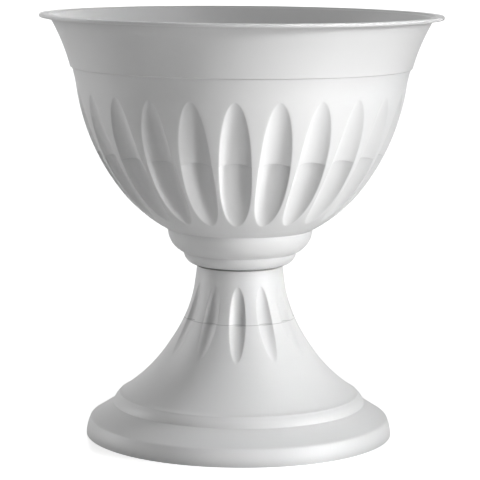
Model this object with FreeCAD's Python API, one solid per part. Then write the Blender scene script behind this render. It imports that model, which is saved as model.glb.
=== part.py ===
import FreeCAD, Part
import math
import os

from FreeCAD import Vector

# A garden urn planter moulded in white polypropylene: a fluted bowl with a lip, a fluted
# bell-shaped pedestal on a stepped foot, and a push-in stopper for the bowl's drain hole.
# The bowl stands on the pedestal: its spigot drops into a socket in the pedestal's neck.
#
# Frame: millimetres, +Z up, the floor at Z = 0, the urn's axis on Z. A flute faces -Y.
# Outer outlines run upwards. Each step is (radius, height, bulge of the stretch up to the
# next step), where a bulge is the arc's rise over its chord, outwards when positive.

# ---- Pedestal: radii, and the height of each stretch of its outline ----
FOOT_RADIUS = 153.8          # outer edge of the ring that stands on the floor
FOOT_SHOULDER_RADIUS = 150.4 # top of the foot's side
FOOT_SLOPE_RADIUS = 147.8    # where the foot's sloping top starts
FOOT_INNER_RADIUS = 126.6    # where the sloping top meets the bead
BEAD_RADIUS = 121.2          # top of the bead that runs round the foot
FLARE_FOOT_RADIUS = 119.0
FLARE_WAIST_RADIUS = 71.4
STEM_RADIUS = 45.7
NECK_RADIUS = 43.0
FOOT_SIDE_HEIGHT = 15.0
FOOT_EDGE_HEIGHT = 2.6
FOOT_SLOPE_HEIGHT = 13.7
BEAD_HEIGHT = 9.1
BEAD_TOP_HEIGHT = 1.6
FLARE_HEIGHT = 48.0
WAIST_HEIGHT = 60.0
STEM_HEIGHT = 20.5
FOOT_SIDE_BULGE = 0.75
FOOT_EDGE_BULGE = 0.45
BEAD_BULGE = 0.9
BEAD_TOP_BULGE = 0.35
FLARE_HOLLOW = 3.5           # how far the trumpet's arcs fall inside their chords
WAIST_HOLLOW = 3.3
STEM_HOLLOW = 0.2
PEDESTAL_WALL = 2.5
FOOT_INSIDE_POINTS = (2, 3)  # outline points that the plain inside of the foot follows
FLARE_POINT = 5              # outline point where the bell starts, inside and out

# ---- Bowl: radii, and the height of each stretch above the seat ----
LOWER_OVOLO_FOOT_RADIUS = 44.0
LOWER_OVOLO_RADIUS = 56.5
UPPER_OVOLO_RADIUS = 72.5
BELLY_LOW_RADIUS = 116.3
BELLY_HIGH_RADIUS = 163.1
BAND_FOOT_RADIUS = 167.7
BAND_RADIUS = 169.5          # the band stands proud of the belly by the difference
BAND_TOP_RADIUS = 189.6
RIM_RADIUS = 200.0
RIM_INNER_RADIUS = 191.0
SHADOW_GAP = 1.5             # open joint under the lower ovolo
LOWER_OVOLO_HEIGHT = 12.5
UPPER_OVOLO_HEIGHT = 23.5
BELLY_LOW_HEIGHT = 35.0
BELLY_HIGH_HEIGHT = 104.0
BELLY_TOP_HEIGHT = 21.8
BAND_STEP_HEIGHT = 1.0
BAND_HEIGHT = 48.4
LIP_THICKNESS = 3.2
LOWER_OVOLO_BULGE = 3.2
UPPER_OVOLO_BULGE = 4.3
BELLY_LOW_BULGE = 2.55
BELLY_HIGH_BULGE = 7.6
BELLY_TOP_HOLLOW = 0.5
BAND_HOLLOW = 1.7
LIP_EDGE_BULGE = 0.8
LIP_INNER_BULGE = 0.9
BOWL_WALL = 2.5

# ---- Spigot and socket that join the two ----
SPIGOT_RADIUS = 33.7
SPIGOT_DEPTH = 23.0
SPIGOT_CHAMFER = 1.2
SOCKET_CLEARANCE = 0.3
SOCKET_DEPTH = 21.0
SOCKET_LEAD_IN = 0.8
SEAT_RADIUS = 39.5           # the ring under the bowl that rests on the pedestal's deck

# ---- Flutes: scoops cut in two depths that meet at a small ledge ----
BOWL_FLUTES = 24
BOWL_LEDGE_HEIGHT = 77.0         # all three above the crease under the belly
BOWL_FLUTE_FOOT_HEIGHT = 14.4
BOWL_FLUTE_TOP_HEIGHT = 139.0
BOWL_FLUTE_WIDTH = 30.4          # across the ledge
BOWL_UPPER_DEPTH = 6.4
BOWL_LOWER_DEPTH = 9.2
STEM_FLUTES = 12
STEM_LEDGE_HEIGHT = 52.0         # all three below the pedestal's top
STEM_FLUTE_FOOT_HEIGHT = 86.0
STEM_FLUTE_TOP_HEIGHT = 15.5
STEM_FLUTE_WIDTH = 16.1
STEM_UPPER_DEPTH = 4.4
STEM_LOWER_DEPTH = 3.0
STEM_UPPER_BOW = 2.0             # how far the scoop's bottom sags below a straight line
STEM_LOWER_BOW = 1.6
FLUTE_OVERRUN = 8.0              # the cutter runs on past the flute's tip, in the air
FACET_SAG = 0.5                  # an arc's facets stay this close to it

# ---- Drain hole and its stopper ----
DRAIN_HOLE_RADIUS = 9.0
STOPPER_CLEARANCE = 0.1
STOPPER_HEAD_RADIUS = 13.0
STOPPER_HEAD_THICKNESS = 2.2
STOPPER_PROUD = 1.8              # the stem reaches below the floor by this much
TAB_LENGTH = 13.0
TAB_THICKNESS = 2.4
TAB_HEIGHT = 9.0
TAB_ROUND = 3.0

PEDESTAL_HEIGHT = (FOOT_SIDE_HEIGHT + FOOT_EDGE_HEIGHT + FOOT_SLOPE_HEIGHT + BEAD_HEIGHT
                   + BEAD_TOP_HEIGHT + FLARE_HEIGHT + WAIST_HEIGHT + STEM_HEIGHT)
SPIGOT_FOOT = PEDESTAL_HEIGHT - SPIGOT_DEPTH
SUMP_FLOOR = SPIGOT_FOOT + BOWL_WALL
AXIS_FOOT = Vector(0, 0, 0)
UP = Vector(0, 0, 1)


def stack(first_height, steps):
    """Outline points (radius, height, bulge) from steps of (radius, rise, bulge)."""
    outline = []
    height = first_height
    for radius, rise, bulge in steps:
        outline.append((radius, height, bulge))
        height += rise
    return outline


def stretch(start, end):
    """Chord length, chord lean from the vertical and half the turn of one stretch."""
    across, along = end[0] - start[0], end[1] - start[1]
    chord = math.hypot(across, along)
    return chord, math.atan2(across, along), 2 * math.atan(2 * start[2] / chord)


def outward(lean):
    """Unit normal, as radius and height, of an outline that leans so from the vertical."""
    return math.cos(lean), -math.sin(lean)


def inset(outline, wall):
    """The outline moved inwards by the wall, with mitred corners and concentric arcs."""
    leans = []
    for start, end in zip(outline, outline[1:]):
        chord, lean, half_turn = stretch(start, end)
        leans.append((lean + half_turn, lean - half_turn))
    moved = []
    for index, (radius, height, bulge) in enumerate(outline):
        arriving = leans[max(index - 1, 0)][1 if index else 0]
        leaving = leans[min(index, len(leans) - 1)][0 if index < len(leans) else 1]
        reach = wall / math.cos((leaving - arriving) / 2)
        normal = outward((leaving + arriving) / 2)
        moved.append([radius - normal[0] * reach, height - normal[1] * reach, 0.0])
    for index, (start, end) in enumerate(zip(outline, outline[1:])):
        if start[2]:
            normal = outward(stretch(start, end)[1])
            middle = ((start[0] + end[0]) / 2 + normal[0] * (start[2] - wall),
                      (start[1] + end[1]) / 2 + normal[1] * (start[2] - wall))
            a, b = moved[index], moved[index + 1]
            a[2] = ((middle[0] - (a[0] + b[0]) / 2) * normal[0]
                    + (middle[1] - (a[1] + b[1]) / 2) * normal[1])
    return [tuple(point) for point in moved]


def centre_of(start, end):
    """Centre and signed radius of a stretch's arc. The radius is negative for a hollow."""
    chord, lean, half_turn = stretch(start, end)
    radius = chord / 2 / math.sin(half_turn)
    normal = outward(lean)
    inwards = radius - start[2]
    return ((start[0] + end[0]) / 2 - normal[0] * inwards,
            (start[1] + end[1]) / 2 - normal[1] * inwards, radius)


def faceted(outline):
    """The outline with each arc drawn as equal straight facets that stay close to it."""
    points = []
    for start, end in zip(outline, outline[1:]):
        points.append(start[:2])
        if start[2]:
            across, along, radius = centre_of(start, end)
            lean, half_turn = stretch(start, end)[1:]
            count = math.ceil(math.sqrt(abs(start[2]) / FACET_SAG))
            for step in range(1, count):
                angle = half_turn * (2 * step / count - 1) - lean
                points.append((across + radius * math.cos(angle),
                               along + radius * math.sin(angle)))
    points.append(outline[-1][:2])
    return points


def turned(outline):
    """Solid of revolution of a closed outline of (radius, height, bulge) points."""
    points = [Vector(radius, 0, height) for radius, height in faceted(outline + [outline[0]])]
    return Part.Face(Part.makePolygon(points)).revolve(AXIS_FOOT, UP, 360)


def point_at(outline, height):
    """Radius and lean of the outline at a height."""
    for start, end in zip(outline, outline[1:]):
        if start[1] <= height <= end[1] and end[1] > start[1]:
            if not start[2]:
                share = (height - start[1]) / (end[1] - start[1])
                return start[0] + share * (end[0] - start[0]), stretch(start, end)[1]
            across, along, radius = centre_of(start, end)
            sine = (height - along) / radius
            return across + radius * math.sqrt(1 - sine * sine), -math.asin(sine)
    raise ValueError("no outline at that height")


def beyond(point, direction):
    """A block, larger than any cutter, on the far side of the plane through the point."""
    side = RIM_RADIUS
    block = Part.makeBox(side, side, side, Vector(-side / 2, -side / 2, 0))
    block.Placement = FreeCAD.Placement(point, FreeCAD.Rotation(UP, direction))
    return block


def scoop(outline, ledge, tip, width, depth, bow=0.0, skin=0.0, lead=0.0):
    """Half a flute, on +X: a round cutter, deepest at the ledge, that runs out at the tip.

    Its bottom is straight, or bows inwards in straight legs with mitred joints. skin makes
    it larger all round, and lead starts it before the ledge."""
    radius, lean = point_at(outline, ledge)
    normal = outward(lean)
    half = width / 2
    below = depth - half * half * math.cos(lean) / (2 * radius)
    round_radius = (half * half + below * below) / (2 * below)
    upwards = 1 if tip > ledge else -1
    bottom = (radius - normal[0] * depth, ledge - normal[1] * depth, -bow * upwards)
    path = [Vector(across, 0, along) for across, along
            in faceted([bottom, (point_at(outline, tip)[0], tip, 0.0)])]
    runs = [(end - start).normalize() for start, end in zip(path, path[1:])]
    facings = [Vector(-normal[1], 0, normal[0]) * upwards]
    facings += [(before + after).normalize() for before, after in zip(runs, runs[1:])]
    legs = []
    for index, run in enumerate(runs):
        axis = path[index] + Vector(run.z, 0, -run.x) * round_radius * upwards
        length = (path[index + 1] - path[index]).Length
        leg = Part.makeCylinder(round_radius + skin, length + 3 * FLUTE_OVERRUN,
                                axis - run * 2 * FLUTE_OVERRUN, run)
        leg = leg.common(beyond(path[index] - facings[index] * (0 if index else lead),
                                facings[index]))
        if index + 1 < len(runs):
            leg = leg.cut(beyond(path[index + 1], facings[index + 1]))
        legs.append(leg)
    return legs


def fluted(solid, count, upper, lower):
    """A solid with its flutes cut: each half is the legs of a scoop."""
    around = []
    for index in range(count):
        for cutter in upper + lower:
            copy = cutter.copy()
            copy.rotate(AXIS_FOOT, UP, 360.0 * index / count - 90)
            around.append(copy)
    return solid.cut(around)


def bowl_outline():
    seat = PEDESTAL_HEIGHT
    return stack(seat + SHADOW_GAP, [
        (LOWER_OVOLO_FOOT_RADIUS, LOWER_OVOLO_HEIGHT, LOWER_OVOLO_BULGE),
        (LOWER_OVOLO_RADIUS, UPPER_OVOLO_HEIGHT, UPPER_OVOLO_BULGE),
        (UPPER_OVOLO_RADIUS, BELLY_LOW_HEIGHT, BELLY_LOW_BULGE),
        (BELLY_LOW_RADIUS, BELLY_HIGH_HEIGHT, BELLY_HIGH_BULGE),
        (BELLY_HIGH_RADIUS, BELLY_TOP_HEIGHT, -BELLY_TOP_HOLLOW),
        (BAND_FOOT_RADIUS, BAND_STEP_HEIGHT, 0.0),
        (BAND_RADIUS, BAND_HEIGHT, -BAND_HOLLOW),
        (BAND_TOP_RADIUS, 0.0, 0.0),
    ])


def bowl_fluted(solid, skin=0.0):
    """The bowl's flutes cut in a solid. A skin leaves the bumps that they make inside."""
    outline = bowl_outline()
    crease = PEDESTAL_HEIGHT + SHADOW_GAP + LOWER_OVOLO_HEIGHT + UPPER_OVOLO_HEIGHT
    ledge = crease + BOWL_LEDGE_HEIGHT
    upper = scoop(outline, ledge, crease + BOWL_FLUTE_TOP_HEIGHT, BOWL_FLUTE_WIDTH,
                  BOWL_UPPER_DEPTH, skin=skin)
    lower = scoop(outline, ledge, crease + BOWL_FLUTE_FOOT_HEIGHT, BOWL_FLUTE_WIDTH,
                  BOWL_LOWER_DEPTH, skin=skin, lead=skin)
    return fluted(solid, BOWL_FLUTES, upper, lower)


def make_bowl():
    """Lip, band, fluted belly, two ovolos, seat ring and spigot, one wall thick throughout."""
    outline = bowl_outline()
    seat = PEDESTAL_HEIGHT
    lip_underside = outline[-1][1]
    rim_top = lip_underside + LIP_THICKNESS
    spigot = [(DRAIN_HOLE_RADIUS, SPIGOT_FOOT, 0.0),
              (SPIGOT_RADIUS - SPIGOT_CHAMFER, SPIGOT_FOOT, 0.0),
              (SPIGOT_RADIUS, SPIGOT_FOOT + SPIGOT_CHAMFER, 0.0),
              (SPIGOT_RADIUS, seat, 0.0),
              (SEAT_RADIUS, seat, 0.0),
              (SEAT_RADIUS, seat + SHADOW_GAP, 0.0)]
    edge_radius = RIM_RADIUS - LIP_EDGE_BULGE
    lip = [(edge_radius, lip_underside, LIP_EDGE_BULGE), (edge_radius, rim_top, 0.0)]
    outer = turned(spigot + outline + lip + [(DRAIN_HOLE_RADIUS, rim_top, 0.0)])

    inner = inset(outline, BOWL_WALL)
    inner[-1] = inner[-1][:2] + (LIP_INNER_BULGE,)
    sump_radius = SPIGOT_RADIUS - BOWL_WALL
    core = DRAIN_HOLE_RADIUS / 2
    sump = [(core, SUMP_FLOOR, 0.0), (sump_radius, SUMP_FLOOR, 0.0),
            (sump_radius, inner[0][1], 0.0)]
    mouth = [(RIM_INNER_RADIUS, rim_top, 0.0), (RIM_INNER_RADIUS, rim_top + LIP_THICKNESS, 0.0),
             (core, rim_top + LIP_THICKNESS, 0.0)]
    hollow = turned(sump + inner + mouth)

    return bowl_fluted(outer).cut(bowl_fluted(hollow, BOWL_WALL))


def pedestal_outline():
    return stack(0.0, [
        (FOOT_RADIUS, FOOT_SIDE_HEIGHT, FOOT_SIDE_BULGE),
        (FOOT_SHOULDER_RADIUS, FOOT_EDGE_HEIGHT, FOOT_EDGE_BULGE),
        (FOOT_SLOPE_RADIUS, FOOT_SLOPE_HEIGHT, 0.0),
        (FOOT_INNER_RADIUS, BEAD_HEIGHT, BEAD_BULGE),
        (BEAD_RADIUS, BEAD_TOP_HEIGHT, BEAD_TOP_BULGE),
        (FLARE_FOOT_RADIUS, FLARE_HEIGHT, -FLARE_HOLLOW),
        (FLARE_WAIST_RADIUS, WAIST_HEIGHT, -WAIST_HOLLOW),
        (STEM_RADIUS, STEM_HEIGHT, -STEM_HOLLOW),
        (NECK_RADIUS, 0.0, 0.0),
    ])


def stem_fluted(solid, skin=0.0):
    """The stem's flutes cut in a solid. A skin leaves the bumps that they make inside."""
    outline = pedestal_outline()
    ledge = PEDESTAL_HEIGHT - STEM_LEDGE_HEIGHT
    upper = scoop(outline, ledge, PEDESTAL_HEIGHT - STEM_FLUTE_TOP_HEIGHT, STEM_FLUTE_WIDTH,
                  STEM_UPPER_DEPTH, STEM_UPPER_BOW, skin, lead=skin)
    lower = scoop(outline, ledge, PEDESTAL_HEIGHT - STEM_FLUTE_FOOT_HEIGHT, STEM_FLUTE_WIDTH,
                  STEM_LOWER_DEPTH, STEM_LOWER_BOW, skin)
    return fluted(solid, STEM_FLUTES, upper, lower)


def make_pedestal():
    """Bell open underneath, with a deck at its neck that carries the socket sleeve."""
    outline = pedestal_outline()
    bore = SPIGOT_RADIUS + SOCKET_CLEARANCE
    sleeve_radius = bore + PEDESTAL_WALL
    socket_foot = PEDESTAL_HEIGHT - SOCKET_DEPTH
    deck_underside = PEDESTAL_HEIGHT - PEDESTAL_WALL
    outer = turned([(bore, 0.0, 0.0)] + outline
                   + [(bore + SOCKET_LEAD_IN, PEDESTAL_HEIGHT, 0.0),
                      (bore, PEDESTAL_HEIGHT - SOCKET_LEAD_IN, 0.0)])

    inner = inset(outline, PEDESTAL_WALL)
    inner_neck = point_at(inner, deck_underside)[0]
    inner = ([(inner[0][0], -PEDESTAL_WALL, 0.0), (inner[0][0], 0.0, 0.0)]
             + [inner[index][:2] + (0.0,) for index in FOOT_INSIDE_POINTS]
             + inner[FLARE_POINT:-1] + [(inner_neck, deck_underside, 0.0)])
    hollow = turned([(bore / 2, -PEDESTAL_WALL, 0.0)] + inner
                    + [(sleeve_radius, deck_underside, 0.0), (sleeve_radius, socket_foot, 0.0),
                       (bore / 2, socket_foot, 0.0)])

    return stem_fluted(outer).cut(stem_fluted(hollow, PEDESTAL_WALL))


def make_stopper():
    """Push-in stopper: a head on the sump's floor, a stem and a tab to pull it by."""
    stem_radius = DRAIN_HOLE_RADIUS - STOPPER_CLEARANCE
    stem_foot = SPIGOT_FOOT - STOPPER_PROUD
    head_top = SUMP_FLOOR + STOPPER_HEAD_THICKNESS
    body = turned([(0.0, stem_foot, 0.0), (stem_radius, stem_foot, 0.0),
                   (stem_radius, SUMP_FLOOR, 0.0), (STOPPER_HEAD_RADIUS, SUMP_FLOOR, 0.0),
                   (STOPPER_HEAD_RADIUS, head_top, 0.0), (0.0, head_top, 0.0)])
    tab = Part.makeBox(TAB_LENGTH, TAB_THICKNESS, TAB_HEIGHT + STOPPER_HEAD_THICKNESS,
                       Vector(-TAB_LENGTH / 2, -TAB_THICKNESS / 2, SUMP_FLOOR))
    corners = [edge for edge in tab.Edges
               if edge.BoundBox.ZMin > head_top and edge.BoundBox.YLength > TAB_THICKNESS / 2]
    return body.fuse(tab.makeFillet(TAB_ROUND, corners)).removeSplitter()


def save(name, shape):
    solid = shape.Solids[0] if len(shape.Solids) == 1 else shape
    solid.exportStep("parts/" + name + ".step")
    box = solid.BoundBox
    print(name, "solids", len(shape.Solids), "valid", shape.isValid(),
          "volume", round(shape.Volume), "box", [round(v, 2) for v in (
              box.XMin, box.YMin, box.ZMin, box.XMax, box.YMax, box.ZMax)])


os.makedirs("parts", exist_ok=True)
save("pedestal", make_pedestal())
save("bowl", make_bowl())
save("drain_stopper", make_stopper())
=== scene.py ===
import math

import bmesh
import bpy
from mathutils import Euler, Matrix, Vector


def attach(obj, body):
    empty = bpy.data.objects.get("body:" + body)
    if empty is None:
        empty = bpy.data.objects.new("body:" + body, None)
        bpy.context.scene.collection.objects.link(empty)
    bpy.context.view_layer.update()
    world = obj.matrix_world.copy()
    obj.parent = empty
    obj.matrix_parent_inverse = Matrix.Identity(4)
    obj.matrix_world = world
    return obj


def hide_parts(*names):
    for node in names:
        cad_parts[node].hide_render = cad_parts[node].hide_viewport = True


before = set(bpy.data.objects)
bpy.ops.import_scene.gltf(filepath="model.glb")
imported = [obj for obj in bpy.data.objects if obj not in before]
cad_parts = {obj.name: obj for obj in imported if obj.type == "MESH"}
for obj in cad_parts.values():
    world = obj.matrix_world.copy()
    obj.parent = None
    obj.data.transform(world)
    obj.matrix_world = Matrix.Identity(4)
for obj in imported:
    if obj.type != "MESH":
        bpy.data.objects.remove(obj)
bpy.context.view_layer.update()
scene = bpy.context.scene
MM = 0.001


# ---- Camera ----
# A long lens a little over two metres away, just above the rim, as the photograph was taken.
# The urn's front flute stands two degrees to the left of the view.
FRAME_WIDTH_PX = 480
FOCAL_PX = 2238.2
SENSOR_MM = 36.0
CAMERA_PLACE_MM = (77.5, -2219.6, 521.3)
CAMERA_PITCH_DEG = 8.34
CAMERA_TURN_DEG = 2.0
CAMERA_ROLL_DEG = 0.47

lens = bpy.data.cameras.new("camera")
lens.lens = SENSOR_MM * FOCAL_PX / FRAME_WIDTH_PX
lens.sensor_width = SENSOR_MM
camera = bpy.data.objects.new("camera", lens)
camera.location = Vector(CAMERA_PLACE_MM) * MM
look = Euler((math.radians(90 - CAMERA_PITCH_DEG), 0, math.radians(CAMERA_TURN_DEG)))
camera.rotation_euler = (look.to_matrix() @ Euler((0, 0, math.radians(CAMERA_ROLL_DEG))).to_matrix()
                         ).to_euler()
scene.collection.objects.link(camera)
scene.camera = camera
scene.view_settings.view_transform = "Standard"


# ---- Studio ----
# A white surround and a glossy white floor. A gridded strip box on the right is turned towards
# the urn's front left edge, with a small low box under it, one above it and a fill on the left.
# The surround is white where it is seen or mirrored, and dim where it only lights the urn.
def linear(code):
    """An sRGB hex colour as linear RGBA."""
    parts = [int(code[i:i + 2], 16) / 255 for i in (1, 3, 5)]
    return [c / 12.92 if c <= 0.04045 else ((c + 0.055) / 1.055) ** 2.4 for c in parts] + [1.0]


def add(tree, kind, inputs=(), **settings):
    """A node with its settings. inputs pairs a socket's name or number with a value or link."""
    node = tree.nodes.new(kind)
    for name, value in settings.items():
        setattr(node, name, value)
    for name, value in dict(inputs).items():
        if isinstance(value, bpy.types.NodeSocket):
            tree.links.new(value, node.inputs[name])
        else:
            node.inputs[name].default_value = value
    return node


SURROUND_LIGHT = 0.115
surround = bpy.data.worlds.new("white_surround")
surround.use_nodes = True
tree = surround.node_tree
tree.nodes.clear()
path = add(tree, "ShaderNodeLightPath")
seen = add(tree, "ShaderNodeMath", {0: path.outputs["Is Camera Ray"],
                                    1: path.outputs["Is Glossy Ray"]}, operation="MAXIMUM")
seen = add(tree, "ShaderNodeMath", {0: seen.outputs[0],
                                    1: path.outputs["Is Transmission Ray"]}, operation="MAXIMUM")
level = add(tree, "ShaderNodeMapRange", {"Value": seen.outputs[0], "To Min": SURROUND_LIGHT,
                                         "To Max": 1.0})
glow = add(tree, "ShaderNodeBackground", {"Color": linear("#ffffff"),
                                          "Strength": level.outputs[0]})
add(tree, "ShaderNodeOutputWorld", {"Surface": glow.outputs[0]})
scene.world = surround

FLOOR_SIZE = 30.0
FLOOR_SHOWN_WHITE = 0.56
floor_mesh = bpy.data.meshes.new("floor")
half = FLOOR_SIZE / 2
floor_mesh.from_pydata([(-half, -half, 0), (half, -half, 0), (half, half, 0), (-half, half, 0)],
                       [], [(0, 1, 2, 3)])
floor = bpy.data.objects.new("floor", floor_mesh)
scene.collection.objects.link(floor)
paper = bpy.data.materials.new("floor_gloss_white_acrylic")
paper.use_nodes = True
tree = paper.node_tree
tree.nodes.clear()
sheet = add(tree, "ShaderNodeBsdfPrincipled", {"Base Color": linear("#f4f4f4"),
                                               "Roughness": 0.12, "IOR": 1.49})
path = add(tree, "ShaderNodeLightPath")
level = add(tree, "ShaderNodeMath", {0: path.outputs["Is Camera Ray"], 1: FLOOR_SHOWN_WHITE},
            operation="MULTIPLY")
white = add(tree, "ShaderNodeEmission", {"Color": linear("#ffffff"),
                                         "Strength": level.outputs[0]})
both = add(tree, "ShaderNodeAddShader", {0: sheet.outputs[0], 1: white.outputs[0]})
add(tree, "ShaderNodeOutputMaterial", {"Surface": both.outputs[0]})
floor_mesh.materials.append(paper)


def at(azimuth, elevation, distance):
    """A place round the urn. The azimuth runs from the view towards the right."""
    side, rise = math.radians(azimuth + CAMERA_TURN_DEG), math.radians(elevation)
    return distance * Vector((math.cos(rise) * math.sin(side), -math.cos(rise) * math.cos(side),
                              math.sin(rise)))


def soft_box(name, place, target, width, height, power, grid_deg=180.0):
    """A soft box that faces a target, with a grid that narrows how widely it throws."""
    lamp = bpy.data.lights.new(name, "AREA")
    lamp.shape = "RECTANGLE"
    lamp.size, lamp.size_y, lamp.energy = width, height, power
    lamp.spread = math.radians(grid_deg)
    box = bpy.data.objects.new(name, lamp)
    box.location = place
    box.rotation_euler = (target - place).to_track_quat("-Z", "Y").to_euler()
    scene.collection.objects.link(box)


URN_MIDDLE = Vector((0, 0, 0.25))
BOWL_MIDDLE = Vector((0, 0, 0.32))
soft_box("key_strip_box", BOWL_MIDDLE + at(66, 17, 2.4), BOWL_MIDDLE + at(-24, 12, 0.22),
         width=0.42, height=1.1, power=1.4, grid_deg=16)
soft_box("low_box", URN_MIDDLE + at(50, -3, 2.4), URN_MIDDLE + at(-40, 0, 0.15),
         width=0.42, height=0.2, power=0.4, grid_deg=20)
soft_box("top_box", URN_MIDDLE + at(75, 60, 2.4), URN_MIDDLE, width=0.6, height=0.6, power=10)
soft_box("left_fill", URN_MIDDLE + at(-105, 15, 2.4), URN_MIDDLE, width=1.0, height=1.6, power=17)


# ---- Pedestal ----
# A bell on a stepped round foot, injection moulded in white polypropylene and open underneath.
# Twelve scooped flutes ring its stem, each in two depths that meet at a ledge, and a deck at its
# neck holds the socket for the bowl's spigot.
WALL_MM = 2.5
SOCKET_BORE_MM = 34.0
SOCKET_DEPTH_MM = 21.0
SOCKET_LEAD_IN_MM = 0.8
ROW_SPACING_MM = 4.5
ARC_ROW_DEG = 6.0
LEDGE_SPREAD_MM = 0.03       # the two rows of a ledge lie this far either side of it
MERGE_MM = 0.005
# Outer outline upwards: (radius, rise to the next point, bulge of the stretch between)
PEDESTAL_STEPS = [
    (153.8, 15.0, 0.75),     # side of the foot
    (150.4, 2.6, 0.45),
    (147.8, 13.7, 0.0),      # sloping top of the foot
    (126.6, 9.1, 0.9),       # bead
    (121.2, 1.6, 0.35),
    (119.0, 48.0, -3.5),     # bell
    (71.4, 60.0, -3.3),
    (45.7, 20.5, -0.2),      # neck
    (43.0, 0.0, 0.0),
]
# Flutes: count, ledge, foot and top heights, width, depths and fullness of the two halves
PEDESTAL_FLUTES = dict(count=12, ledge=118.5, foot=84.5, top=155.0, width=16.1,
                       upper=4.4, lower=3.0, upper_fullness=2.0, lower_fullness=2.0)


def stacked(first_height, steps):
    """Outline points (radius, height, bulge) from steps of (radius, rise, bulge)."""
    outline, height = [], first_height
    for radius, rise, bulge in steps:
        outline.append((radius, height, bulge))
        height += rise
    return outline


def stretch(start, end):
    """Chord length, lean from the vertical and half the turn of one stretch of an outline."""
    across, along = end[0] - start[0], end[1] - start[1]
    chord = math.hypot(across, along)
    return chord, math.atan2(across, along), 2 * math.atan(2 * start[2] / chord)


def inset(outline, wall):
    """The outline moved inwards by the wall, with mitred corners and concentric arcs."""
    leans = []
    for start, end in zip(outline, outline[1:]):
        chord, lean, half_turn = stretch(start, end)
        leans.append((lean + half_turn, lean - half_turn))
    moved = []
    for index, (radius, height, bulge) in enumerate(outline):
        arriving = leans[max(index - 1, 0)][1 if index else 0]
        leaving = leans[min(index, len(leans) - 1)][0 if index < len(leans) else 1]
        reach = wall / math.cos((leaving - arriving) / 2)
        middle = (leaving + arriving) / 2
        moved.append([radius - math.cos(middle) * reach, height + math.sin(middle) * reach, 0.0])
    for index, (start, end) in enumerate(zip(outline, outline[1:])):
        if start[2]:
            lean = stretch(start, end)[1]
            a, b = moved[index], moved[index + 1]
            a[2] = ((start[0] + end[0] - a[0] - b[0]) / 2 * math.cos(lean)
                    - (start[1] + end[1] - a[1] - b[1]) / 2 * math.sin(lean) + start[2] - wall)
    return [tuple(point) for point in moved]


def along(outline, heights=()):
    """Rows (radius, height, lean) up an outline: its points, steps on its arcs, and heights."""
    rows = []
    for start, end in zip(outline, outline[1:]):
        chord, lean, half_turn = stretch(start, end)
        count = max(1, math.ceil(abs(half_turn) * 2 / math.radians(ARC_ROW_DEG)),
                    math.ceil(chord / ROW_SPACING_MM) if start[2] else 1)
        shares = {step / count for step in range(count)}
        if end[1] > start[1]:
            for height in heights:
                if start[1] < height < end[1]:
                    shares.add(share_at(start, end, height))
        for share in sorted(shares):
            turn = half_turn * (1 - 2 * share)
            if start[2]:
                radius = chord / 2 / math.sin(half_turn)
                run = 2 * radius * math.sin(half_turn * share)
                heading = lean + half_turn * (1 - share)
            else:
                run, heading = chord * share, lean
            rows.append((start[0] + run * math.sin(heading), start[1] + run * math.cos(heading),
                         lean + turn))
    rows.append((outline[-1][0], outline[-1][1], rows[-1][2]))
    return rows


def share_at(start, end, height):
    """How far along a stretch, from 0 to 1, it passes a height."""
    chord, lean, half_turn = stretch(start, end)
    if not start[2]:
        return (height - start[1]) / (end[1] - start[1])
    radius = chord / 2 / math.sin(half_turn)
    low, high = 0.0, 1.0
    for step in range(40):
        share = (low + high) / 2
        run = 2 * radius * math.sin(half_turn * share)
        if start[1] + run * math.cos(lean + half_turn * (1 - share)) < height:
            low = share
        else:
            high = share
    return share


def flute_heights(flutes, shift, rows=14):
    """Rows that follow a flute's rounded tips closely, and the two rows of its ledge."""
    ledge = flutes["ledge"] + shift
    heights = [ledge - LEDGE_SPREAD_MM, ledge + LEDGE_SPREAD_MM]
    for tip in (flutes["foot"], flutes["top"]):
        heights += [ledge + (tip - ledge) * math.sin(math.pi / 2 * step / rows)
                    for step in range(1, rows + 1)]
    return heights


def flute_section(flutes, shift, height):
    """Half width and depth of a flute at a height, both nothing beyond its tips."""
    ledge = flutes["ledge"] + shift
    half = "upper" if height > ledge else "lower"
    tip = flutes["top"] if height > ledge else flutes["foot"]
    share = 1 - abs((height - ledge) / (tip - ledge)) ** flutes[half + "_fullness"]
    if share <= 1e-9:
        return 0.0, 0.0
    return flutes["width"] / 2 * math.sqrt(share), flutes[half] * share


def rows_of(points, flutes=None, skin=0.0, shift=0.0):
    """Outline rows with the flute that each row carries: a list of the tree's attributes."""
    rows = []
    for radius, height, lean in points:
        width, depth = flute_section(flutes, shift, height) if flutes else (0.0, 0.0)
        rows.append((radius, height, lean, width, depth, skin))
    return rows


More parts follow.
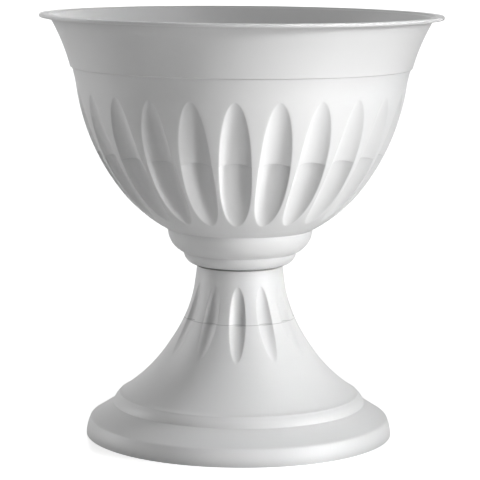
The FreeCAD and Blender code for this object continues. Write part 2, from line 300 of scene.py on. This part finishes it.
def turning_tree():
    """Turns an outline about Z and presses its flutes, column by column.

    The columns of a flute follow its edge, and close up to a line beyond its tips."""
    tree = bpy.data.node_groups.new("fluted_turning", "GeometryNodeTree")
    face = tree.interface
    face.new_socket("Outline", in_out="INPUT", socket_type="NodeSocketGeometry")
    for name, value in (("Flutes", 12), ("Scoop Columns", 14), ("Ridge Columns", 8)):
        face.new_socket(name, in_out="INPUT", socket_type="NodeSocketInt").default_value = value
    face.new_socket("Edge Radius", in_out="INPUT", socket_type="NodeSocketFloat")
    face.new_socket("Finish", in_out="INPUT", socket_type="NodeSocketMaterial")
    face.new_socket("Shell", in_out="OUTPUT", socket_type="NodeSocketGeometry")
    given = add(tree, "NodeGroupInput").outputs

    def math_of(operation, *values):
        return add(tree, "ShaderNodeMath", dict(enumerate(values)), operation=operation).outputs[0]

    def named(name):
        return add(tree, "GeometryNodeInputNamedAttribute", {"Name": name},
                   data_type="FLOAT").outputs["Attribute"]

    per_flute = math_of("ADD", given["Scoop Columns"], given["Ridge Columns"])
    columns = math_of("MULTIPLY", per_flute, given["Flutes"])
    ring = add(tree, "GeometryNodeCurvePrimitiveCircle", {"Resolution": columns})
    index = add(tree, "GeometryNodeInputIndex")
    ring = add(tree, "GeometryNodeStoreNamedAttribute",
               {"Geometry": ring.outputs[0], "Name": "column", "Value": index.outputs[0]},
               data_type="FLOAT", domain="POINT")
    outline = add(tree, "GeometryNodeMeshToCurve", {"Mesh": given["Outline"]})
    shell = add(tree, "GeometryNodeCurveToMesh", {"Curve": ring.outputs[0],
                                                  "Profile Curve": outline.outputs[0]})

    radius, height, lean = named("row_radius"), named("row_height"), named("row_lean")
    half_width, depth, skin = named("half_width"), named("scoop_depth"), named("skin")
    column = named("column")
    place = math_of("FLOORED_MODULO", column, per_flute)
    flute = math_of("FLOOR", math_of("DIVIDE", math_of("ADD", column, 0.5), per_flute))
    pitch = math_of("DIVIDE", math.tau, given["Flutes"])
    has_flute = math_of("GREATER_THAN", half_width, 1e-7)

    # The round that the scoop is cut with, larger by the wall on the inside
    square = math_of("ADD", math_of("MULTIPLY", half_width, half_width),
                     math_of("MULTIPLY", depth, depth))
    safe_depth = math_of("MAXIMUM", depth, 1e-7)
    round_radius = math_of("ADD", math_of("DIVIDE", square, math_of("MULTIPLY", safe_depth, 2.0)),
                           skin)
    floor_share = math_of("DIVIDE", safe_depth, math_of("MAXIMUM", round_radius, 1e-6))
    half_arc = math_of("ARCCOSINE", math_of("SUBTRACT", 1.0, floor_share))
    edge = math_of("MULTIPLY", has_flute,
                   math_of("MULTIPLY", round_radius, math_of("SINE", half_arc)))

    # Across a scoop, from one edge to the other, with more columns near the edges
    across = math_of("DIVIDE", place, given["Scoop Columns"])
    across = math_of("SUBTRACT", math_of("MULTIPLY", across, 2.0), 1.0)
    across = math_of("SINE", math_of("MULTIPLY", across, math.pi / 2))
    turned = math_of("MULTIPLY", across, half_arc)
    scoop_x = math_of("MULTIPLY", has_flute,
                      math_of("MULTIPLY", round_radius, math_of("SINE", turned)))
    scoop_y = math_of("MULTIPLY", round_radius,
                      math_of("SUBTRACT", math_of("COSINE", turned), math_of("COSINE", half_arc)))

    # Across the ridge to the next scoop
    ridge = math_of("SUBTRACT", math_of("MULTIPLY", radius, pitch), math_of("MULTIPLY", edge, 2.0))
    step = math_of("DIVIDE", math_of("SUBTRACT", place, given["Scoop Columns"]),
                   given["Ridge Columns"])
    eased = math_of("MULTIPLY", 0.5,
                    math_of("SUBTRACT", 1.0, math_of("COSINE", math_of("MULTIPLY", step, math.pi))))
    step = math_of("ADD", math_of("MULTIPLY", has_flute, eased),
                   math_of("MULTIPLY", math_of("SUBTRACT", 1.0, has_flute), step))
    into = math_of("MULTIPLY", ridge, step)
    ridge_x = math_of("ADD", edge, into)
    nearest = math_of("MINIMUM", into, math_of("SUBTRACT", ridge, into))
    ridge_y = math_of("MULTIPLY", -1.0, math_of("MULTIPLY", nearest, math_of("TANGENT", half_arc)))

    on_ridge = math_of("GREATER_THAN", place, math_of("ADD", given["Scoop Columns"], 0.5))

    def pick(when_scoop, when_ridge):
        return add(tree, "GeometryNodeSwitch", {"Switch": on_ridge, "False": when_scoop,
                                                "True": when_ridge}, input_type="FLOAT").outputs[0]

    x, y = pick(scoop_x, ridge_x), pick(scoop_y, ridge_y)
    soften = math_of("MULTIPLY", given["Edge Radius"], math_of("SINE", half_arc))
    sunk = math_of("MULTIPLY", 0.5, math_of("ADD", y, math_of(
        "SQRT", math_of("ADD", math_of("MULTIPLY", y, y), math_of("MULTIPLY", soften, soften)))))
    sunk = math_of("MULTIPLY", has_flute, sunk)

    angle = math_of("ADD", math_of("SUBTRACT", math_of("MULTIPLY", flute, pitch), math.pi / 2),
                    math_of("DIVIDE", x, math_of("MAXIMUM", radius, 1e-6)))
    out = math_of("SUBTRACT", radius, math_of("MULTIPLY", sunk, math_of("COSINE", lean)))
    up = math_of("ADD", height, math_of("MULTIPLY", sunk, math_of("SINE", lean)))
    position = add(tree, "ShaderNodeCombineXYZ", {
        0: math_of("MULTIPLY", out, math_of("COSINE", angle)),
        1: math_of("MULTIPLY", out, math_of("SINE", angle)), 2: up})
    shell = add(tree, "GeometryNodeSetPosition", {"Geometry": shell.outputs[0],
                                                  "Position": position.outputs[0]})
    shell = add(tree, "GeometryNodeMergeByDistance", {"Geometry": shell.outputs[0],
                                                      "Distance": MERGE_MM * MM})
    shell = add(tree, "GeometryNodeFlipFaces", {"Mesh": shell.outputs[0]})     # outwards
    shell = add(tree, "GeometryNodeSetShadeSmooth", {"Geometry": shell.outputs[0]})
    shell = add(tree, "GeometryNodeRealizeInstances", {"Geometry": shell.outputs[0]})
    shell = add(tree, "GeometryNodeSetMaterial", {"Geometry": shell.outputs[0],
                                                  "Material": given["Finish"]})
    add(tree, "NodeGroupOutput", {0: shell.outputs[0]})
    return tree


turning = turning_tree()
SHARP_DEG = 32.0


def turned_piece(name, rows, finish, flutes=24, scoop_columns=14, ridge_columns=8, edge_mm=0.6):
    """An outline's rows turned by the tree into one plain mesh at the origin.

    The outline closes on itself, or is left open where it starts and ends on the axis."""
    mesh = bpy.data.meshes.new(name)
    count = len(rows)
    last = count if rows[0][0] else count - 1
    mesh.from_pydata([(row[0] * MM, 0, row[1] * MM) for row in rows],
                     [(i, (i + 1) % count) for i in range(last)], [])
    fields = {"row_radius": [row[0] * MM for row in rows],
              "row_height": [row[1] * MM for row in rows],
              "row_lean": [row[2] for row in rows],
              "half_width": [row[3] * MM for row in rows],
              "scoop_depth": [row[4] * MM for row in rows],
              "skin": [row[5] * MM for row in rows]}
    for field, values in fields.items():
        mesh.attributes.new(field, "FLOAT", "POINT").data.foreach_set("value", values)
    piece = bpy.data.objects.new(name, mesh)
    scene.collection.objects.link(piece)
    modifier = piece.modifiers.new("turning", "NODES")
    modifier.node_group = turning
    settings = {"Flutes": flutes, "Scoop Columns": scoop_columns, "Ridge Columns": ridge_columns,
                "Edge Radius": edge_mm * MM, "Finish": finish}
    for socket in turning.interface.items_tree:
        if socket.in_out == "INPUT" and socket.name in settings:
            modifier[socket.identifier] = settings[socket.name]
    seen = piece.evaluated_get(bpy.context.evaluated_depsgraph_get())
    made = bpy.data.meshes.new_from_object(seen)
    piece.modifiers.clear()
    piece.data = made
    for field in list(fields) + ["column"]:
        if field in made.attributes:
            made.attributes.remove(made.attributes[field])
    made.set_sharp_from_angle(angle=math.radians(SHARP_DEG))
    return piece


# Painted shade in creases: how far the occlusion reaches, how dark the colour goes, and the
# openings over which it fades out.
PAINTED_SHADE_REACH_MM = 14.0
PAINTED_CREASE_SHADE = 0.55
PAINTED_SHADE_OPENNESS = (0.25, 0.95)    # the openings between which the shade fades out
# The seam hairline is painted shade in the colour, in place of the shade at the small step where
# the mould parts.
SEAM_PAINTED_LINE_WIDTH_MM = 0.6          # wide enough to show; the real one is too fine to measure
SEAM_PAINTED_SHADE = 0.68
FLOW_SWIRL_MM = 90.0
GLOSS_SPREAD = 0.05
GRAIN_RELIEF_MM = 0.1
GRAIN_STRENGTH = 0.06


def moulded_plastic(name, body, shade, grain_mm, roughness, painted_seam_line_mm=None):
    """Injection-moulded plastic: opaque, satin, with the mould's fine spark-eroded grain.

    The grain breaks up the gloss, and slow swirls of shade come from how the melt flowed.
    Creases, flute bottoms and the underside of the lip get painted shade, a little darker,
    so that the ledges read clearly; the plastic itself has one colour. A seam height, if given,
    gets a hairline of painted shade round the piece."""
    plastic = bpy.data.materials.new(name)
    plastic.use_nodes = True
    tree = plastic.node_tree
    tree.nodes.clear()
    where = add(tree, "ShaderNodeTexCoord").outputs["Object"]
    flow = add(tree, "ShaderNodeTexNoise", {"Vector": where, "Scale": 1 / (FLOW_SWIRL_MM * MM),
                                            "Detail": 3.0, "Distortion": 0.6})
    tint = add(tree, "ShaderNodeMix", {0: flow.outputs["Fac"], 6: linear(body),
                                       7: linear(shade)}, data_type="RGBA")
    # Painted shade: ambient occlusion darkens the colour in creases, under the lip and in the flute
    # bottoms.
    painted_crease_shade = add(tree, "ShaderNodeAmbientOcclusion", {"Distance": PAINTED_SHADE_REACH_MM * MM},
                  samples=8)
    painted_shade_factor = add(tree, "ShaderNodeMapRange", {
        "Value": painted_crease_shade.outputs["AO"], "From Min": PAINTED_SHADE_OPENNESS[0],
        "From Max": PAINTED_SHADE_OPENNESS[1], "To Min": PAINTED_CREASE_SHADE, "To Max": 1.0})
    # Painted shade: a thin dark band round the piece at the seam's height.
    if painted_seam_line_mm is not None:
        height = add(tree, "ShaderNodeSeparateXYZ", {0: where}).outputs["Z"]
        seam_painted_shade = add(tree, "ShaderNodeMath", {0: height, 1: painted_seam_line_mm * MM, 2: SEAM_PAINTED_LINE_WIDTH_MM / 2 * MM},
                   operation="COMPARE")
        seam_painted_shade = add(tree, "ShaderNodeMapRange", {"Value": seam_painted_shade.outputs[0], "To Min": 1.0,
                                                "To Max": SEAM_PAINTED_SHADE})
        painted_shade_factor = add(tree, "ShaderNodeMath", {0: painted_shade_factor.outputs[0], 1: seam_painted_shade.outputs[0]},
                         operation="MULTIPLY")
    colour = add(tree, "ShaderNodeVectorMath", {0: tint.outputs[2],
                                                "Scale": painted_shade_factor.outputs[0]}, operation="SCALE")
    grain = add(tree, "ShaderNodeTexNoise", {"Vector": where, "Scale": 1 / (grain_mm * MM),
                                             "Detail": 2.0, "Roughness": 0.6})
    gloss = add(tree, "ShaderNodeMapRange", {"Value": grain.outputs["Fac"],
                                             "To Min": roughness - GLOSS_SPREAD,
                                             "To Max": roughness + GLOSS_SPREAD})
    relief = add(tree, "ShaderNodeBump", {"Height": grain.outputs["Fac"],
                                          "Strength": GRAIN_STRENGTH,
                                          "Distance": GRAIN_RELIEF_MM * MM})
    skin = add(tree, "ShaderNodeBsdfPrincipled", {
        "Base Color": colour.outputs[0], "Roughness": gloss.outputs[0],
        "Normal": relief.outputs[0], "IOR": 1.49})
    add(tree, "ShaderNodeOutputMaterial", {"Surface": skin.outputs[0]})
    return plastic


PEDESTAL_TOP_MM = sum(step[1] for step in PEDESTAL_STEPS)
# The pedestal gets a hairline of painted shade at its flutes' ledge height.
pedestal_plastic = moulded_plastic("white_polypropylene_satin_pedestal", "#e3e3e3", "#dfdfdf",
                                   grain_mm=1.2, roughness=0.42,
                                   painted_seam_line_mm=PEDESTAL_FLUTES["ledge"])
outside = stacked(0.0, PEDESTAL_STEPS)
inside = inset(outside, WALL_MM)
deck_underside = PEDESTAL_TOP_MM - WALL_MM
socket_foot = PEDESTAL_TOP_MM - SOCKET_DEPTH_MM
inside[0] = (inside[0][0], 0.0, inside[0][2])
neck_share = share_at(inside[-2], inside[-1], deck_underside)
neck_rows = [row for row in along(inside, flute_heights(PEDESTAL_FLUTES, -WALL_MM, rows=8))
             if row[1] < deck_underside - 0.5]
inner_neck = inside[-2][0] + neck_share * (inside[-1][0] - inside[-2][0])
rows = rows_of(along(outside, flute_heights(PEDESTAL_FLUTES, 0.0)), PEDESTAL_FLUTES)
rows += rows_of([(SOCKET_BORE_MM + SOCKET_LEAD_IN_MM, PEDESTAL_TOP_MM, 0.0),
                 (SOCKET_BORE_MM, PEDESTAL_TOP_MM - SOCKET_LEAD_IN_MM, 0.0),
                 (SOCKET_BORE_MM, socket_foot, 0.0),
                 (SOCKET_BORE_MM + WALL_MM, socket_foot, 0.0),
                 (SOCKET_BORE_MM + WALL_MM, deck_underside, 0.0),
                 (inner_neck, deck_underside, 0.0)])
rows += rows_of(neck_rows[::-1], PEDESTAL_FLUTES, WALL_MM, -WALL_MM)
pedestal = turned_piece("pedestal_shell", rows, pedestal_plastic,
                        flutes=PEDESTAL_FLUTES["count"], ridge_columns=16)
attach(pedestal, "pedestal")
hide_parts("pedestal")


# ---- Bowl ----
# A deep fluted bowl with a plain flared band and a thin flat lip, injection moulded in the same
# white polypropylene. Its spigot stands in the pedestal's socket, a seat ring rests on the deck,
# and an open line is left all round under its lowest moulding.
SPIGOT_MM = 33.7
SPIGOT_DEPTH_MM = 23.0
SPIGOT_CHAMFER_MM = 1.2
SEAT_RING_MM = 39.5
SHADOW_GAP_MM = 1.5
DRAIN_HOLE_MM = 9.0
BOWL_STEPS = [
    (44.0, 12.5, 3.2),       # lower ovolo
    (56.5, 23.5, 4.3),       # upper ovolo
    (72.5, 35.0, 2.55),      # belly
    (116.3, 104.0, 7.6),
    (163.1, 21.8, -0.5),
    (167.7, 1.0, 0.0),       # step under the band
    (169.5, 48.4, -1.7),     # band
    (189.6, 0.0, 0.0),
]
LIP_MM = 3.2
LIP_EDGE_MM = 199.2
LIP_EDGE_BULGE_MM = 0.8
LIP_INNER_MM = 191.0
LIP_INNER_BULGE_MM = 0.9
BOWL_FLUTES = dict(count=24, ledge=285.0, foot=222.4, top=347.0, width=30.4,
                   upper=6.4, lower=9.2, upper_fullness=2.0, lower_fullness=2.9)

bowl_plastic = moulded_plastic("white_polypropylene_satin_bowl", "#e3e3e3", "#dfdfdf",
                               grain_mm=1.2, roughness=0.42)
seat = PEDESTAL_TOP_MM
spigot_foot = seat - SPIGOT_DEPTH_MM
sump_floor = spigot_foot + WALL_MM
outside = stacked(seat + SHADOW_GAP_MM, BOWL_STEPS)
lip_underside = outside[-1][1]
rim_top = lip_underside + LIP_MM
inside = inset(outside, WALL_MM)
inside[-1] = inside[-1][:2] + (LIP_INNER_BULGE_MM,)
inside.append((LIP_INNER_MM, rim_top, 0.0))
rows = rows_of([(DRAIN_HOLE_MM, spigot_foot, 0.0),
                (SPIGOT_MM - SPIGOT_CHAMFER_MM, spigot_foot, 0.0),
                (SPIGOT_MM, spigot_foot + SPIGOT_CHAMFER_MM, 0.0), (SPIGOT_MM, seat, 0.0),
                (SEAT_RING_MM, seat, 0.0), (SEAT_RING_MM, seat + SHADOW_GAP_MM, 0.0)])
rows += rows_of(along(outside, flute_heights(BOWL_FLUTES, 0.0)), BOWL_FLUTES)
rows += rows_of(along([(LIP_EDGE_MM, lip_underside, LIP_EDGE_BULGE_MM),
                       (LIP_EDGE_MM, rim_top, 0.0)]))
inner_rows = along(inside, flute_heights(BOWL_FLUTES, WALL_MM, rows=8))
rows += rows_of(inner_rows[::-1], BOWL_FLUTES, WALL_MM, WALL_MM)
rows += rows_of([(SPIGOT_MM - WALL_MM, inside[0][1], 0.0), (SPIGOT_MM - WALL_MM, sump_floor, 0.0),
                 (DRAIN_HOLE_MM, sump_floor, 0.0)])
bowl = turned_piece("bowl_shell", rows, bowl_plastic, flutes=BOWL_FLUTES["count"])
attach(bowl, "bowl")
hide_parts("bowl")


# ---- Drain stopper ----
# A push-in plug of soft low-density polyethylene in the bowl's drain hole, injection moulded and
# a little yellower than the urn. Its head lies on the sump's floor, and a tab on it is the grip.
STOPPER_STEM_MM = 8.9
STOPPER_HEAD_MM = 13.0
STOPPER_HEAD_THICKNESS_MM = 2.2
STOPPER_PROUD_MM = 1.8
STOPPER_EDGE_MM = 0.4
TAB_MM = (13.0, 2.4, 9.0)
TAB_ROUND_MM = 3.0
TAB_CORNER_STEPS = 8

stopper_plastic = moulded_plastic("white_low_density_polyethylene", "#dcdad2", "#d6d4cb",
                                  grain_mm=0.6, roughness=0.5)
stem_foot = spigot_foot - STOPPER_PROUD_MM
head_top = sump_floor + STOPPER_HEAD_THICKNESS_MM
edge = STOPPER_EDGE_MM
rows = rows_of([(0.0, stem_foot, 0.0), (STOPPER_STEM_MM - edge, stem_foot, 0.0),
                (STOPPER_STEM_MM, stem_foot + edge, 0.0), (STOPPER_STEM_MM, sump_floor, 0.0),
                (STOPPER_HEAD_MM, sump_floor, 0.0), (STOPPER_HEAD_MM, head_top - edge, 0.0),
                (STOPPER_HEAD_MM - edge, head_top, 0.0), (0.0, head_top, 0.0)])
stopper = turned_piece("stopper", rows, stopper_plastic, flutes=4, scoop_columns=12,
                       ridge_columns=12)
length, thickness, height = TAB_MM
tab_corner = [(length / 2 - TAB_ROUND_MM * (1 - math.sin(turn)),
               head_top + height - TAB_ROUND_MM * (1 - math.cos(turn)))
              for turn in (math.pi / 2 * step / TAB_CORNER_STEPS
                           for step in range(TAB_CORNER_STEPS + 1))]
tab_side = ([(-length / 2, sump_floor)] + [(-x, z) for x, z in tab_corner[::-1]] + tab_corner
            + [(length / 2, sump_floor)])
tab = bmesh.new()
face = tab.faces.new([tab.verts.new((x * MM, -thickness / 2 * MM, z * MM)) for x, z in tab_side])
pushed = bmesh.ops.extrude_face_region(tab, geom=[face])["geom"]
bmesh.ops.translate(tab, vec=(0, thickness * MM, 0),
                    verts=[item for item in pushed if isinstance(item, bmesh.types.BMVert)])
rims = [item for item in tab.edges if abs(item.verts[0].co.y - item.verts[1].co.y) < 1e-7]
bmesh.ops.bevel(tab, geom=rims, offset=edge * MM, segments=2, profile=0.5, affect="EDGES")
bmesh.ops.recalc_face_normals(tab, faces=tab.faces)
for item in tab.faces:
    item.smooth = True
tab.from_mesh(stopper.data)
tab.to_mesh(stopper.data)
tab.free()
stopper.data.set_sharp_from_angle(angle=math.radians(SHARP_DEG))
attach(stopper, "drain_stopper")
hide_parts("drain_stopper")
